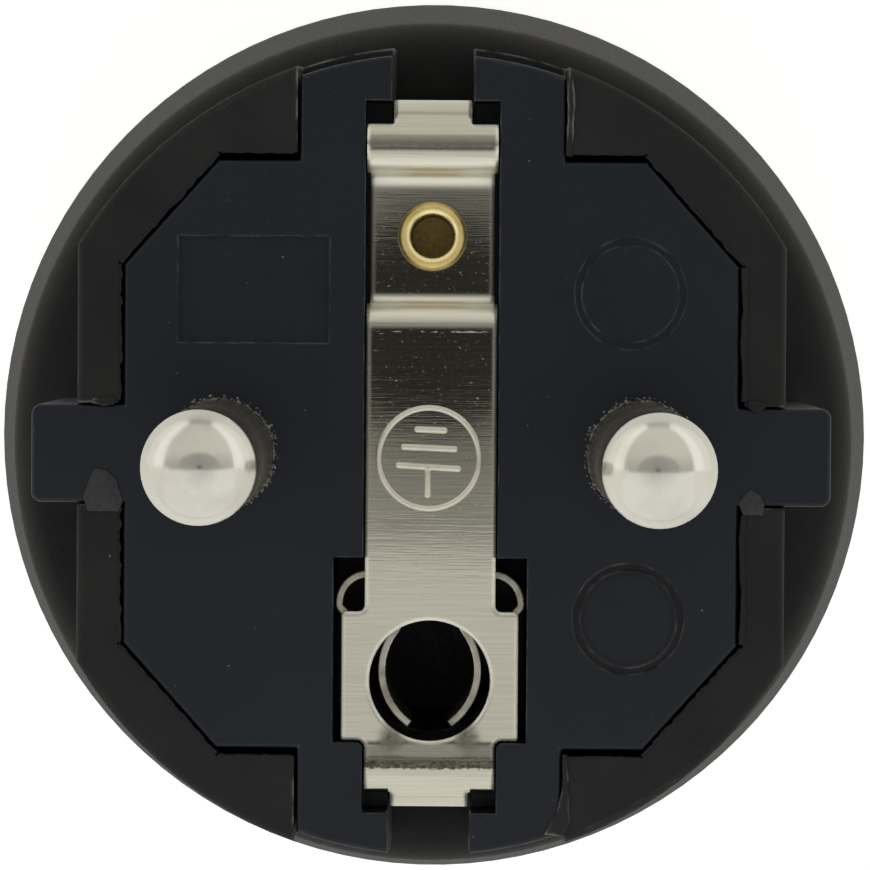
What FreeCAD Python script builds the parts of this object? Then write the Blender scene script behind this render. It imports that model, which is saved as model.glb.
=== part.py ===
import FreeCAD
import Part
import math
import os

# Rewireable earthed two-pin plug in a solid rubber housing, standing on its cable end with the pins up.
# Lengths are in mm. A depth is counted from the plug face back towards the cable end.

# Contacts
pin_diameter = 4.8
pin_spacing = 19.0
pin_reach = 19.0
pin_dome_height = 1.4
pin_neck_diameter = 4.0
shank_diameter = 5.2
shank_start = 0.6
pillar_diameter = 6.2
pillar_start = 12.5
pillar_end = 28.0
wire_hole_diameter = 3.2
wire_hole_depth = 8.0
terminal_screw_depth = 24.5

# Housing outside
body_length = 74.0
engaged_length = 18.0
face_diameter = 36.9
root_diameter = 38.2
flat_span = 31.8
rib_span = 35.9
rib_height = 4.4
rib_corner = 0.45
face_edge_round = 0.3
collar_diameter = 44.4
collar_front_diameter = 40.6
collar_front_round = 1.0
collar_shoulder_depth = 31.5
collar_shoulder_round = 28.0
collar_back_depth = 38.5
collar_back_round = 2.5
grip_diameter = 38.6
grip_depth = 40.5
grip_round = 2.5
tail_neck_depth = 57.5
tail_neck_diameter = 26.0
tail_neck_round = 10.0
tail_end_diameter = 22.4
tail_end_round = 1.2
tail_groove_pitch = 4.6
tail_groove_width = 1.8
tail_groove_cut = 1.6
tail_groove_round = 0.5
flute_count = 16
flute_radius = 1.9
flute_cut = 0.8
flute_start_share = 0.2
flute_end_share = 0.8

# Housing inside
cable_bore_diameter = 10.0
chamber_diameter = 30.6
chamber_start = 21.5
chamber_taper_start = 31.5
chamber_end = 41.5
chamber_end_diameter = 28.4
chamber_cone_end = 49.0
seat_gap = 0.25
seat_end_gap = 0.35
seat_arm_gap = 0.12
seat_rib_gap = 0.08
lip_bite = 0.8
lip_width = 2.0
lip_height = 12.0
lip_depth = 9.0

# Contact carrier and terminal block
plate_thickness = 7.5
carrier_length = 19.0
block_end = 29.5
arm_width = 11.9
arm_diameter = 36.0
core_width = 27.6
core_height = 26.4
core_top_width = 19.2
core_side_height = 17.0
plate_edge_round = 0.2
label_width = 6.8
label_height = 4.8
label_x = -8.0
label_y = 7.4
label_sink = 0.25
mark_diameter = 5.0
mark_x = 8.9
mark_y = 7.3
mark_line = 0.3
mark_sink = 0.12

# Earth strap
strap_thickness = 0.8
strap_width = 5.87
strap_sink = 0.3
strap_rise = 0.1
trough_sink = 1.7
trough_width = 5.6
trough_top = 13.1
trough_bottom = 6.4
trough_bend = 0.6
trough_foot_top = 0.95
trough_foot_bottom = 0.75
step_start = 12.95
step_run = 0.8
step_rise = 0.1
step_bend = 1.0
shoulder_top = 14.85
shoulder_bottom = 15.2
earth_span = 32.0
leg_width = 3.5
leg_end = 20.0
leg_bend = 1.55
plate_width = 7.95
plate_top = 7.05
plate_bottom = 12.85
strap_fillet = 0.3
strap_corner = 0.15
earth_socket_offset = 10.15
earth_socket_diameter = 5.45
end_pocket_top = 15.9
end_pocket_bottom = 16.1
end_pocket_start = 12.95
end_pocket_sink = 3.0

# Earth spring
spring_thickness = 0.3
spring_width = 8.5
spring_top = 5.25
spring_bottom = 13.25
spring_loop_radius = 1.33
spring_throat_depth = 7.8
spring_throat_bend = 0.5
spring_arm_radius = 2.95
spring_arm_lean = 37.0
spring_arm_sweep = 52.0
spring_arm_straight = 0.05
spring_tip_straight = 0.15
spring_tuck = 0.5
spring_tuck_start = 6.88
spring_tuck_end = 7.38
spring_tuck_bend = 0.3
spring_slant_start = 11.4
spring_bridge_width = 5.0
spring_corner_bend = 0.7
spring_depth_end = 6.6
spring_room = 0.1
spring_head_room = 0.65

# Rivet and earth terminal
rivet_offset = 9.85
rivet_diameter = 2.6
rivet_hole_diameter = 1.9
rivet_hole_end = 5.5
rivet_head_diameter = 3.1
rivet_head_height = 0.5
rivet_roll = 0.28
rivet_tail_diameter = 3.5
earth_web_end = 22.0
terminal_thickness = 1.0
terminal_width = 6.8
terminal_foot_end = 12.4
terminal_wall_y = 5.9
terminal_wall_end = 29.8
terminal_bend = 1.0
clamp_plate_size = 5.6
clamp_plate_thickness = 0.8
earth_screw_depth = 27.0

# Screws
terminal_screw_diameter = 2.5
terminal_screw_reach = 10.6
terminal_head_diameter = 4.0
terminal_head_height = 1.5
earth_screw_diameter = 3.0
earth_head_diameter = 5.0
earth_head_height = 1.8
saddle_screw_diameter = 3.0
saddle_screw_length = 9.0
saddle_head_diameter = 4.2
saddle_head_height = 2.0
slot_width = 0.8
slot_cut = 0.8
small_round = 0.3

# Cord anchor
anchor_start = 33.5
anchor_end = 40.0
anchor_width = 20.4
anchor_depth = 9.0
neck_width = 13.0
neck_top = 8.0
neck_bottom = 12.6
cord_radius = 4.2
saddle_thickness = 2.0
saddle_bolt_spacing = 15.6

# Clearances
pin_room = 0.03
mouth_room = 0.1
pillar_room = 0.1
strap_room = 0.08
leg_room = 0.1
rivet_room = 0.05
screw_room = 0.05
head_room = 0.25
terminal_room = 0.4
guide_room = 0.1

leg_outer = earth_span / 2
leg_inner = leg_outer - strap_thickness
strap_back = strap_sink + strap_thickness
trough_back = trough_sink + strap_thickness
tail_groove_count = int((body_length - tail_neck_depth - tail_groove_width) / tail_groove_pitch)


def up(depth):
    return body_length - depth


def mitre(before, here, after, shift):
    # Corner of a path moved to the left of it by shift.
    before, here, after = [FreeCAD.Vector(p[0], p[1], 0) for p in (before, here, after)]
    one = (here - before).normalize()
    two = (after - here).normalize()
    one = FreeCAD.Vector(-one.y, one.x, 0)
    two = FreeCAD.Vector(-two.y, two.x, 0)
    moved = here + (one + two) * (shift / (1 + one.dot(two)))
    return moved.x, moved.y


def grown(corners, amounts):
    # Closed anticlockwise outline with each side moved outwards by its own amount.
    points = [FreeCAD.Vector(c[0], c[1], 0) for c in corners]
    ways = [(points[(i + 1) % len(points)] - points[i]).normalize() for i in range(len(points))]
    outs = [FreeCAD.Vector(way.y, -way.x, 0) for way in ways]
    moved = []
    for i in range(len(points)):
        fold = outs[i - 1].dot(outs[i])
        first = (amounts[i - 1] - fold * amounts[i]) / (1 - fold * fold)
        second = (amounts[i] - fold * amounts[i - 1]) / (1 - fold * fold)
        corner = points[i] + outs[i - 1] * first + outs[i] * second
        moved.append((corner.x, corner.y))
    return moved


def outline(corners):
    # Flat face through corners given as (x, y) or (x, y, radius).
    count = len(corners)
    arcs = []
    for i in range(count):
        here = FreeCAD.Vector(corners[i][0], corners[i][1], 0)
        radius = corners[i][2] if len(corners[i]) == 3 else 0
        before = FreeCAD.Vector(corners[i - 1][0], corners[i - 1][1], 0) - here
        after = FreeCAD.Vector(corners[(i + 1) % count][0], corners[(i + 1) % count][1], 0) - here
        before.normalize()
        after.normalize()
        half = before.getAngle(after) / 2
        if radius <= 0 or half > 1.57:
            arcs.append((here, here, here))
            continue
        reach = radius / math.tan(half)
        inward = (before + after).normalize()
        middle = here + inward * (radius / math.sin(half) - radius)
        arcs.append((here + before * reach, middle, here + after * reach))
    edges = []
    for i in range(count):
        first, middle, last = arcs[i]
        if not first.isEqual(last, 1e-6):
            edges.append(Part.Arc(first, middle, last).toShape())
        follow = arcs[(i + 1) % count][0]
        if not last.isEqual(follow, 1e-6):
            edges.append(Part.makeLine(last, follow))
    return Part.Face(Part.Wire(edges))


def strip(path, thickness):
    # Outline of a bent strip along a centre line of (x, y, bend radius) points.
    sides = []
    for shift in (thickness / 2, -thickness / 2):
        side = []
        for i in range(len(path)):
            x, y, radius = path[i]
            before = path[i - 1] if i > 0 else (2 * x - path[1][0], 2 * y - path[1][1])
            after = path[i + 1] if i + 1 < len(path) else (2 * x - path[-2][0], 2 * y - path[-2][1])
            turn = (x - before[0]) * (after[1] - y) - (y - before[1]) * (after[0] - x)
            bend = radius - math.copysign(shift, turn * shift) if radius else 0
            side.append(mitre(before, path[i], after, shift) + (bend,))
        sides.append(side)
    return sides[0] + sides[1][::-1]


def prism(face, front, back):
    # Face in the XY plane, thickened between two depths.
    solid = face.extrude(FreeCAD.Vector(0, 0, back - front))
    solid.translate(FreeCAD.Vector(0, 0, up(back)))
    return solid


def sideways(face, width):
    # Face drawn as (y, z), thickened evenly along X.
    solid = face.extrude(FreeCAD.Vector(0, 0, width))
    solid.translate(FreeCAD.Vector(0, 0, -width / 2))
    solid.rotate(FreeCAD.Vector(0, 0, 0), FreeCAD.Vector(1, 1, 1), 120)
    return solid


def turned(corners, x=0, y=0):
    # Profile of (radius, depth) or (radius, depth, corner radius) turned about a vertical axis.
    face = outline([(c[0], up(c[1])) + tuple(c[2:]) for c in corners])
    face.rotate(FreeCAD.Vector(0, 0, 0), FreeCAD.Vector(1, 0, 0), 90)
    solid = face.revolve(FreeCAD.Vector(0, 0, 0), FreeCAD.Vector(0, 0, 1), 360)
    solid.translate(FreeCAD.Vector(x, y, 0))
    return solid


def box(x0, x1, y0, y1, front, back):
    return Part.makeBox(x1 - x0, y1 - y0, back - front, FreeCAD.Vector(x0, y0, up(back)))


def rod(diameter, x, y, front, back):
    return Part.makeCylinder(diameter / 2, back - front, FreeCAD.Vector(x, y, up(back)))


def bar(diameter, start, end):
    way = end - start
    return Part.makeCylinder(diameter / 2, way.Length, start, way)


def both_ends(solid):
    # The solid and its half-turned twin on the other side of the plug.
    twin = solid.copy()
    twin.rotate(FreeCAD.Vector(0, 0, 0), FreeCAD.Vector(0, 0, 1), 180)
    return [solid, twin]


def round_edges(solid, radius, depth):
    level = up(depth)
    edges = [e for e in solid.Edges if abs(e.BoundBox.ZMin - level) + abs(e.BoundBox.ZMax - level) < 1e-4]
    return solid.makeFillet(radius, edges)


def core_corners():
    w, h, t, s = core_width / 2, core_height / 2, core_top_width / 2, core_side_height / 2
    return [(w, -s), (w, s), (t, h), (-t, h), (-w, s), (-w, -s), (-t, -h), (t, -h)]


def plate_corners(reach):
    w, h, t, s = core_width / 2, core_height / 2, core_top_width / 2, core_side_height / 2
    a, r, end = arm_width / 2, rib_height / 2, rib_span / 2 + reach
    quarter = [(end, r), (w, r), (w, s), (t, h), (a, h), (a, face_diameter)]
    left = [(-x, y) for x, y in quarter[::-1]]
    top = quarter + left
    return top + [(-x, -y) for x, y in top]


def rib_bar(front, back):
    w, h = rib_span / 2, rib_height / 2
    corners = [(w, -h, rib_corner), (w, h, rib_corner), (-w, h, rib_corner), (-w, -h, rib_corner)]
    return prism(outline(corners), front, back)


def tail_grooves():
    # Corners of the ring grooves that let the tail bend, counted from the neck to the end.
    fall = (tail_neck_diameter - tail_end_diameter) / 2 / (body_length - tail_neck_depth)
    middle = (tail_neck_depth + body_length) / 2
    corners = []
    for i in range(tail_groove_count):
        centre = middle + (i - (tail_groove_count - 1) / 2) * tail_groove_pitch
        front, back = centre - tail_groove_width / 2, centre + tail_groove_width / 2
        outer_front = tail_neck_diameter / 2 - fall * (front - tail_neck_depth)
        outer_back = tail_neck_diameter / 2 - fall * (back - tail_neck_depth)
        corners.append((outer_front, front, tail_groove_round))
        corners.append((outer_front - tail_groove_cut, front))
        corners.append((outer_front - tail_groove_cut, back))
        corners.append((outer_back, back, tail_groove_round))
    return corners


def grip_flutes():
    # Scoops down the cone between collar and tail, in a ring.
    high = FreeCAD.Vector(grip_diameter / 2, 0, up(grip_depth))
    low = FreeCAD.Vector(tail_neck_diameter / 2, 0, up(tail_neck_depth))
    way = low - high
    out = FreeCAD.Vector(-way.z, 0, way.x).normalize() * (flute_radius - flute_cut)
    start = high + way * flute_start_share + out
    end = high + way * flute_end_share + out
    scoop = bar(2 * flute_radius, start, end)
    scoop = scoop.fuse([Part.makeSphere(flute_radius, start), Part.makeSphere(flute_radius, end)])
    flutes = []
    for i in range(flute_count):
        turned_scoop = scoop.copy()
        turned_scoop.rotate(FreeCAD.Vector(0, 0, 0), FreeCAD.Vector(0, 0, 1), (i + 0.5) * 360 / flute_count)
        flutes.append(turned_scoop)
    return flutes


def housing_grip():
    corners = [(0, body_length), (0, engaged_length)]
    corners.append((collar_front_diameter / 2, engaged_length, collar_front_round))
    corners.append((collar_diameter / 2, collar_shoulder_depth, collar_shoulder_round))
    corners.append((collar_diameter / 2, collar_back_depth, collar_back_round))
    corners.append((grip_diameter / 2, grip_depth, grip_round))
    corners.append((tail_neck_diameter / 2, tail_neck_depth, tail_neck_round))
    corners += tail_grooves()
    corners.append((tail_end_diameter / 2, body_length, tail_end_round))
    return turned(corners).cut(grip_flutes())


def housing_front():
    # Drafted round spigot with two flats, each carrying a guide rib.
    half = flat_span / 2
    corners = [(0, engaged_length), (0, 0), (face_diameter / 2, 0), (root_diameter / 2, engaged_length)]
    round_part = turned(corners)
    flat_part = round_part.common(box(-half, half, -root_diameter, root_diameter, 0, engaged_length))
    whole = flat_part.fuse(rib_bar(0, engaged_length)).removeSplitter()
    return round_edges(whole, face_edge_round, 0)


def housing_cavity():
    bore, chamber = cable_bore_diameter / 2, chamber_diameter / 2
    profile = [(0, body_length), (0, chamber_start), (chamber, chamber_start), (chamber, chamber_taper_start)]
    profile += [(chamber_end_diameter / 2, chamber_end), (bore, chamber_cone_end), (bore, body_length)]
    corners = core_corners()
    wider = outline(grown(corners, [seat_gap] * len(corners)))
    core = prism(wider, plate_thickness, block_end + seat_gap)
    reach = core_width / 2 - lip_bite
    side = lip_height / 2
    lip = box(reach, core_width, -side, side, lip_depth, lip_depth + lip_width)
    core = core.cut(both_ends(lip))
    gaps = [seat_rib_gap, seat_gap, seat_gap, seat_end_gap, seat_arm_gap]
    gaps = 2 * (gaps + [seat_arm_gap] + gaps[::-1] + [seat_rib_gap])
    seat = prism(outline(grown(plate_corners(face_diameter), gaps)), -1, plate_thickness)
    half = leg_width / 2 + leg_room
    groove = box(-half, half, leg_inner, collar_diameter, plate_thickness, engaged_length)
    pocket = box(-half, half, leg_inner, leg_outer + leg_room, engaged_length, leg_end + leg_room)
    return [turned(profile), core, seat] + both_ends(groove) + both_ends(pocket)


def rubber_housing():
    return housing_grip().fuse(housing_front()).removeSplitter().cut(housing_cavity())


def strap_plan(room):
    # Front view of the strap as outlines stacked from the top leg to the bottom one.
    leg, half, plate = leg_width / 2 + room, strap_width / 2 + room, plate_width / 2 + room
    top, bottom = -plate_top + room, -plate_bottom - room
    low, high = -shoulder_bottom - room, shoulder_top + room
    right = [(leg, -face_diameter), (leg, low), (half, low), (half, bottom, strap_fillet)]
    right += [(plate, bottom, strap_corner), (plate, top, strap_corner), (half, top, strap_fillet)]
    right += [(half, high), (leg, high), (leg, face_diameter)]
    left = [(-c[0],) + c[1:] for c in right[::-1]]
    return right + left


def earth_strap():
    middle = strap_thickness / 2
    leg, low, high = leg_outer - middle, strap_sink + middle, middle - strap_rise
    trough = trough_sink + middle
    path = [(leg, up(leg_end), 0), (leg, up(high), leg_bend), (trough_top, up(high), trough_bend)]
    path += [(trough_top, up(trough), trough_foot_top), (trough_bottom, up(trough), trough_foot_bottom)]
    path += [(trough_bottom, up(low), trough_bend), (-step_start, up(low), step_bend)]
    path += [(-step_start - step_run, up(low - step_rise), step_bend)]
    path += [(-leg, up(low - step_rise), leg_bend), (-leg, up(leg_end), 0)]
    strap = sideways(outline(strip(path, strap_thickness)), plate_width)
    strap = strap.common(prism(outline(strap_plan(0)), -1, leg_end))
    half = trough_width / 2
    for x0, x1 in ((half, plate_width), (-plate_width, -half)):
        strap = strap.cut(box(x0, x1, trough_bottom + middle, trough_top - middle, -1, trough_back))
    socket = rod(earth_socket_diameter, 0, -earth_socket_offset, -1, strap_back + 1)
    rivet = rod(rivet_diameter + 2 * rivet_room, 0, rivet_offset, -1, trough_back + 1)
    return strap.cut([socket, rivet])


def earth_spring():
    # One strip: two sprung arms hug the earth pin, each looped back to a leg, with a bridge below.
    middle = spring_thickness / 2
    leg = spring_width / 2 - middle
    inner, hidden = leg - 2 * spring_loop_radius, leg - spring_tuck
    crown, bridge = -spring_top - middle, -spring_bottom + middle
    lean, sweep = math.radians(spring_arm_lean), math.radians(spring_arm_sweep)
    neck = spring_throat_bend * math.tan(lean / 2)
    reach = spring_arm_radius * math.tan((lean + sweep) / 2)
    arm, tip = neck + reach + spring_arm_straight, reach + spring_tip_straight
    elbow_x = inner + arm * math.sin(lean)
    elbow_y = -spring_throat_depth - arm * math.cos(lean)
    tip_x = elbow_x - tip * math.sin(sweep)
    tip_y = elbow_y - tip * math.cos(sweep)
    right = [(tip_x, tip_y, 0), (elbow_x, elbow_y, spring_arm_radius)]
    right += [(inner, -spring_throat_depth, spring_throat_bend)]
    right += [(inner, crown, spring_loop_radius), (leg, crown, spring_loop_radius)]
    right += [(leg, -spring_tuck_start, spring_tuck_bend), (hidden, -spring_tuck_end, spring_tuck_bend)]
    right += [(hidden, -spring_slant_start, spring_corner_bend)]
    right += [(spring_bridge_width / 2, bridge, spring_corner_bend)]
    left = [(-x, y, r) for x, y, r in right[::-1]]
    return prism(outline(strip(right + left, spring_thickness)), strap_back, spring_depth_end)


def carrier_pockets():
    # Everything sunk into the face: strap channel, earth socket, label field and two blank marks.
    half = strap_width / 2 + strap_room
    channel = prism(outline(strap_plan(strap_room)), -1, strap_back)
    low = trough_bottom - strap_thickness / 2 - trough_bend
    trough = box(-half, half, low, trough_top + strap_thickness, -1, trough_back)
    top_end = box(-half, half, end_pocket_start, end_pocket_top, -1, end_pocket_sink)
    bottom_end = box(-half, half, -end_pocket_bottom, -end_pocket_start, -1, end_pocket_sink)
    leg = leg_width / 2 + leg_room
    notch = box(-leg, leg, leg_inner, face_diameter, -1, plate_thickness + 1)
    width = spring_width / 2 + spring_room
    top = -spring_top + spring_head_room
    mouth = box(-width, width, -plate_bottom - strap_room, top, -1, strap_back)
    deep = box(-width, width, -spring_bottom, top, strap_back, spring_depth_end)
    bore = earth_socket_diameter + 2 * guide_room
    guide = rod(bore, 0, -earth_socket_offset, spring_depth_end - 1, carrier_length - 1)
    lx, ly = label_width / 2, label_height / 2
    label = box(label_x - lx, label_x + lx, label_y - ly, label_y + ly, -1, label_sink)
    cuts = [channel, trough, top_end, bottom_end, mouth, deep, guide, label] + both_ends(notch)
    for y in (mark_y, -mark_y):
        ring = rod(mark_diameter, mark_x, y, -1, mark_sink)
        cuts.append(ring.cut(rod(mark_diameter - 2 * mark_line, mark_x, y, -1, mark_sink)))
    return cuts


def contact_carrier():
    plate = prism(outline(plate_corners(0)), 0, plate_thickness)
    plate = plate.common(rod(arm_diameter, 0, 0, 0, plate_thickness))
    plate = plate.cut(box(-rib_span, rib_span, -rib_height, rib_height, 0, plate_thickness))
    plate = plate.fuse([rib_bar(0, plate_thickness), prism(outline(core_corners()), 0, plate_thickness)])
    plate = round_edges(plate.removeSplitter(), plate_edge_round, 0)
    core = prism(outline(core_corners()), plate_thickness, carrier_length)
    cuts = carrier_pockets()
    reach = core_width / 2 - lip_bite - seat_gap
    side = lip_height / 2 + seat_gap
    slot = box(reach, core_width, -side, side, lip_depth - guide_room, lip_depth + lip_width + guide_room)
    cuts += both_ends(slot)
    for x in (-pin_spacing / 2, pin_spacing / 2):
        cuts.append(rod(pin_diameter + 2 * mouth_room, x, 0, -1, shank_start))
        cuts.append(rod(shank_diameter + 2 * pin_room, x, 0, shank_start, pillar_start))
        cuts.append(rod(pillar_diameter + 2 * pillar_room, x, 0, pillar_start, carrier_length))
    cuts.append(rod(rivet_diameter + 2 * rivet_room, 0, rivet_offset, 0, carrier_length))
    return plate.fuse(core).removeSplitter().cut(cuts)


def terminal_block():
    block = prism(outline(core_corners()), carrier_length, block_end)
    half, low = neck_width / 2, anchor_width / 2
    neck = box(-half, half, -neck_bottom, -neck_top, block_end, anchor_start)
    anvil = box(-low, low, -anchor_depth, 0, anchor_start, anchor_end)
    block = block.fuse([neck, anvil]).removeSplitter()
    cuts = [rod(2 * cord_radius, 0, 0, anchor_start, anchor_end)]
    for side in (-1, 1):
        x = side * pin_spacing / 2
        cuts.append(rod(pillar_diameter + 2 * pillar_room, x, 0, carrier_length, pillar_end))
        cuts.append(rod(wire_hole_diameter + 2 * head_room, x, 0, pillar_end, block_end))
        start = FreeCAD.Vector(x, 0, up(terminal_screw_depth))
        way = FreeCAD.Vector(side * core_width, 0, 0)
        cuts.append(bar(terminal_head_diameter + 2 * head_room, start, start + way))
        bolt = FreeCAD.Vector(side * saddle_bolt_spacing / 2, 0, up((anchor_start + anchor_end) / 2))
        tip = FreeCAD.Vector(0, -saddle_screw_length + saddle_thickness, 0)
        cuts.append(bar(saddle_screw_diameter + 2 * screw_room, bolt, bolt + tip))
    cuts.append(rod(rivet_diameter + 2 * rivet_room, 0, rivet_offset, carrier_length, earth_web_end))
    wide = terminal_width / 2 + terminal_room
    floor = terminal_wall_y - terminal_thickness / 2 - 2 * terminal_room
    cuts.append(box(-wide, wide, floor, core_height, earth_web_end, block_end))
    return block.cut(cuts)


def contact_pin(side):
    x = side * pin_spacing / 2
    tip, neck = pin_diameter / 2, pin_neck_diameter / 2
    shank, pillar = shank_diameter / 2, pillar_diameter / 2
    dome = (tip * tip + pin_dome_height * pin_dome_height) / (2 * pin_dome_height)
    shoulder = dome * math.tan(math.asin(tip / dome) / 2)
    corners = [(0, pillar_end), (0, -pin_reach), (shoulder, -pin_reach, dome)]
    corners += [(tip, pin_dome_height - pin_reach), (tip, 0), (neck, 0)]
    corners += [(neck, shank_start), (shank, shank_start), (shank, pillar_start)]
    corners += [(pillar, pillar_start), (pillar, pillar_end, small_round)]
    wire = rod(wire_hole_diameter, x, 0, pillar_end - wire_hole_depth, pillar_end)
    start = FreeCAD.Vector(x, 0, up(terminal_screw_depth))
    way = FreeCAD.Vector(side * pillar_diameter, 0, 0)
    thread = bar(terminal_screw_diameter + 2 * screw_room, start, start + way)
    return turned(corners, x).cut([wire, thread])


def slotted_screw(diameter, length, head_diameter, head_height):
    # Head up, with the seat of the head at the origin.
    head, shank = head_diameter / 2, diameter / 2
    corners = [(0, -length), (shank, -length), (shank, 0), (head, 0)]
    corners += [(head, head_height, small_round), (0, head_height)]
    face = outline(corners)
    face.rotate(FreeCAD.Vector(0, 0, 0), FreeCAD.Vector(1, 0, 0), 90)
    screw = face.revolve(FreeCAD.Vector(0, 0, 0), FreeCAD.Vector(0, 0, 1), 360)
    corner = FreeCAD.Vector(-head_diameter, -slot_width / 2, head_height - slot_cut)
    return screw.cut(Part.makeBox(2 * head_diameter, slot_width, slot_cut, corner))


def terminal_screw(side):
    seat = pin_spacing / 2 + pillar_diameter / 2 + pillar_room
    length = seat - terminal_screw_reach
    screw = slotted_screw(terminal_screw_diameter, length, terminal_head_diameter, terminal_head_height)
    screw.rotate(FreeCAD.Vector(0, 0, 0), FreeCAD.Vector(0, 1, 0), side * 90)
    screw.translate(FreeCAD.Vector(side * seat, 0, up(terminal_screw_depth)))
    return screw


def earth_rivet():
    hole, tube = rivet_hole_diameter / 2, rivet_diameter / 2
    head, tail = rivet_head_diameter / 2, rivet_tail_diameter / 2
    top, end = trough_sink - rivet_head_height, earth_web_end + terminal_thickness
    corners = [(0, rivet_hole_end), (hole, rivet_hole_end), (hole, top, rivet_roll), (head, top, rivet_roll)]
    corners += [(head, trough_sink), (tube, trough_sink), (tube, end), (tail, end)]
    corners += [(tail, end + rivet_head_height, small_round), (0, end + rivet_head_height)]
    return turned(corners, 0, rivet_offset)


def earth_terminal():
    middle = terminal_thickness / 2
    foot = up(earth_web_end + middle)
    path = [(terminal_foot_end, foot, 0), (terminal_wall_y, foot, terminal_bend)]
    path.append((terminal_wall_y, up(terminal_wall_end), 0))
    bracket = sideways(outline(strip(path, terminal_thickness)), terminal_width)
    rivet = rod(rivet_diameter + 2 * rivet_room, 0, rivet_offset, earth_web_end - 1, earth_web_end + 2)
    start = FreeCAD.Vector(0, 0, up(earth_screw_depth))
    thread = bar(earth_screw_diameter + 2 * screw_room, start, start + FreeCAD.Vector(0, rivet_offset, 0))
    return bracket.cut([rivet, thread])


def earth_clamp_plate():
    half = clamp_plate_size / 2
    front = terminal_wall_y + terminal_thickness / 2
    back = front + clamp_plate_thickness
    plate = box(-half, half, front, back, earth_screw_depth - half, earth_screw_depth + half)
    start = FreeCAD.Vector(0, 0, up(earth_screw_depth))
    way = FreeCAD.Vector(0, 2 * front, 0)
    return plate.cut(bar(earth_screw_diameter + 2 * screw_room, start, start + way))


def earth_terminal_screw():
    grip = terminal_thickness + clamp_plate_thickness
    screw = slotted_screw(earth_screw_diameter, grip + terminal_room, earth_head_diameter, earth_head_height)
    screw.rotate(FreeCAD.Vector(0, 0, 0), FreeCAD.Vector(1, 0, 0), -90)
    screw.translate(FreeCAD.Vector(0, terminal_wall_y - terminal_thickness / 2 + grip, up(earth_screw_depth)))
    return screw


def cord_saddle():
    # Arched strap over the cord, its feet flat on the anvil.
    half, rise = anchor_width / 2, cord_radius + saddle_thickness
    corners = [(-half, 0), (half, 0), (half, saddle_thickness, small_round)]
    feet = outline(corners + [(-half, saddle_thickness, small_round)])
    saddle = prism(feet, anchor_start, anchor_end)
    arch = rod(2 * rise, 0, 0, anchor_start, anchor_end)
    saddle = saddle.fuse(arch.common(box(-rise, rise, 0, rise, anchor_start, anchor_end))).removeSplitter()
    cuts = [rod(2 * cord_radius, 0, 0, anchor_start, anchor_end)]
    for side in (-1, 1):
        start = FreeCAD.Vector(side * saddle_bolt_spacing / 2, 0, up((anchor_start + anchor_end) / 2))
        reach = FreeCAD.Vector(0, saddle_thickness, 0)
        cuts.append(bar(saddle_screw_diameter + 2 * screw_room, start, start + reach))
        cuts.append(bar(saddle_head_diameter + 2 * screw_room, start + reach, start + reach * 3))
    return saddle.cut(cuts)


def saddle_screw(side):
    sizes = saddle_screw_diameter, saddle_screw_length, saddle_head_diameter, saddle_head_height
    screw = slotted_screw(*sizes)
    screw.rotate(FreeCAD.Vector(0, 0, 0), FreeCAD.Vector(1, 0, 0), -90)
    middle = up((anchor_start + anchor_end) / 2)
    screw.translate(FreeCAD.Vector(side * saddle_bolt_spacing / 2, saddle_thickness, middle))
    return screw


nodes = {
    "rubber_housing": rubber_housing(),
    "contact_carrier": contact_carrier(),
    "terminal_block": terminal_block(),
    "left_pin": contact_pin(-1),
    "right_pin": contact_pin(1),
    "left_terminal_screw": terminal_screw(-1),
    "right_terminal_screw": terminal_screw(1),
    "earth_strap": earth_strap(),
    "earth_spring": earth_spring(),
    "earth_rivet": earth_rivet(),
    "earth_terminal": earth_terminal(),
    "earth_clamp_plate": earth_clamp_plate(),
    "earth_terminal_screw": earth_terminal_screw(),
    "cord_saddle": cord_saddle(),
    "left_saddle_screw": saddle_screw(-1),
    "right_saddle_screw": saddle_screw(1),
}

os.makedirs("parts", exist_ok=True)
for name, solid in nodes.items():
    solid.exportStep("parts/" + name + ".step")
    print(name, len(solid.Solids), round(solid.Volume, 2), solid.isValid())
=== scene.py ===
import math
import random

import bmesh
import bpy
from mathutils import Matrix, Vector, noise


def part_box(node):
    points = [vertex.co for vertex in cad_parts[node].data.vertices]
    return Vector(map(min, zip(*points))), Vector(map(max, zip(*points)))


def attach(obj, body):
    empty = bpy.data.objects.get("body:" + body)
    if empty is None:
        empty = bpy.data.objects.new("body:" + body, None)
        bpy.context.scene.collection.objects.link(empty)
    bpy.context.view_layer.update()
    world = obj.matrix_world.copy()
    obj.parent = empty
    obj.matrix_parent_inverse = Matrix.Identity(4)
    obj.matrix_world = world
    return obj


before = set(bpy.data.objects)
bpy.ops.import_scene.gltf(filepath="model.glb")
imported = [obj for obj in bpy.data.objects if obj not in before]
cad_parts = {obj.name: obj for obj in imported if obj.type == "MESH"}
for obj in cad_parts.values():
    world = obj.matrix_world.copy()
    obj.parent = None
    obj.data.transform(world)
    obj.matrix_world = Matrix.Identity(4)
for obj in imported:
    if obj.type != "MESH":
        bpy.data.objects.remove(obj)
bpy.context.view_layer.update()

# Rubber mains plug, standing on its cable end, seen straight onto the pins
mm = 0.001
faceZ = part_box("contact_carrier")[1].z  # the plug face
faceCentre = Vector((0, 0, faceZ))
print("frame loaded, face at", round(faceZ / mm, 2), "mm")


# Node helpers
def addNode(tree, kind, inputs=None, **settings):
    node = tree.nodes.new("ShaderNode" + kind)
    for name, value in settings.items():
        setattr(node, name, value)
    for name, value in (inputs or {}).items():
        if isinstance(value, bpy.types.NodeSocket):
            tree.links.new(value, node.inputs[name])
        else:
            node.inputs[name].default_value = value
    return node


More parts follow.
